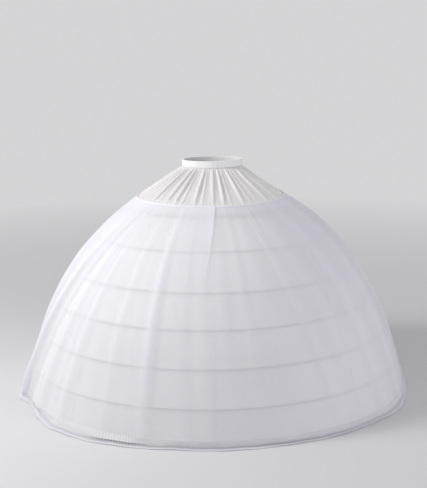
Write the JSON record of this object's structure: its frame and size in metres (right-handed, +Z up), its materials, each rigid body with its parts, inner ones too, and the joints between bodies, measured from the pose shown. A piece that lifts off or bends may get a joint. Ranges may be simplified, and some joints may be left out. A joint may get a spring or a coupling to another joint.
{
  "type": "hooped crinoline petticoat",
  "caption": "Floor-length ball gown petticoat: satin skirt on six hoops under a net overskirt, with a gathered yoke and waistband.",
  "frame": {"origin": "on the floor, under the middle of the hem", "axes": "+Z up along the wearer's waist axis, -Y towards the wearer's front, +X to the right of somebody who faces the front"},
  "size_m": [1.6196, 1.6126, 0.93],
  "materials": {
    "band_satin": "satin",
    "yoke_satin": "satin",
    "skirt_satin": "satin",
    "net": "matte",
    "edging": "matte",
    "casing_tape": "matte",
    "elastic": "matte",
    "hoop_steel": "satin",
    "sleeve_steel": "satin"
  },
  "bodies": {
    "root": {"waistband": "band_satin", "waist_elastic": "elastic", "band_join_tape": "band_satin", "yoke": "yoke_satin", "seam_tape": "net", "net_overskirt": "net", "hem_edging": "edging", "skirt_gore_1": "skirt_satin", "skirt_gore_2": "skirt_satin", "skirt_gore_3": "skirt_satin", "skirt_gore_4": "skirt_satin", "skirt_gore_5": "skirt_satin", "skirt_gore_6": "skirt_satin", "skirt_gore_7": "skirt_satin", "skirt_gore_8": "skirt_satin", "hoop_1": "hoop_steel", "hoop_sleeve_1": "sleeve_steel", "hoop_2": "hoop_steel", "hoop_sleeve_2": "sleeve_steel", "hoop_3": "hoop_steel", "hoop_sleeve_3": "sleeve_steel", "hoop_4": "hoop_steel", "hoop_sleeve_4": "sleeve_steel", "hoop_5": "hoop_steel", "hoop_sleeve_5": "sleeve_steel", "hoop_6": "hoop_steel", "hoop_sleeve_6": "sleeve_steel", "hoop_casing_1": "casing_tape", "hoop_casing_2": "casing_tape", "hoop_casing_3": "casing_tape", "hoop_casing_4": "casing_tape", "hoop_casing_5": "casing_tape"}
  },
  "joints": []
}
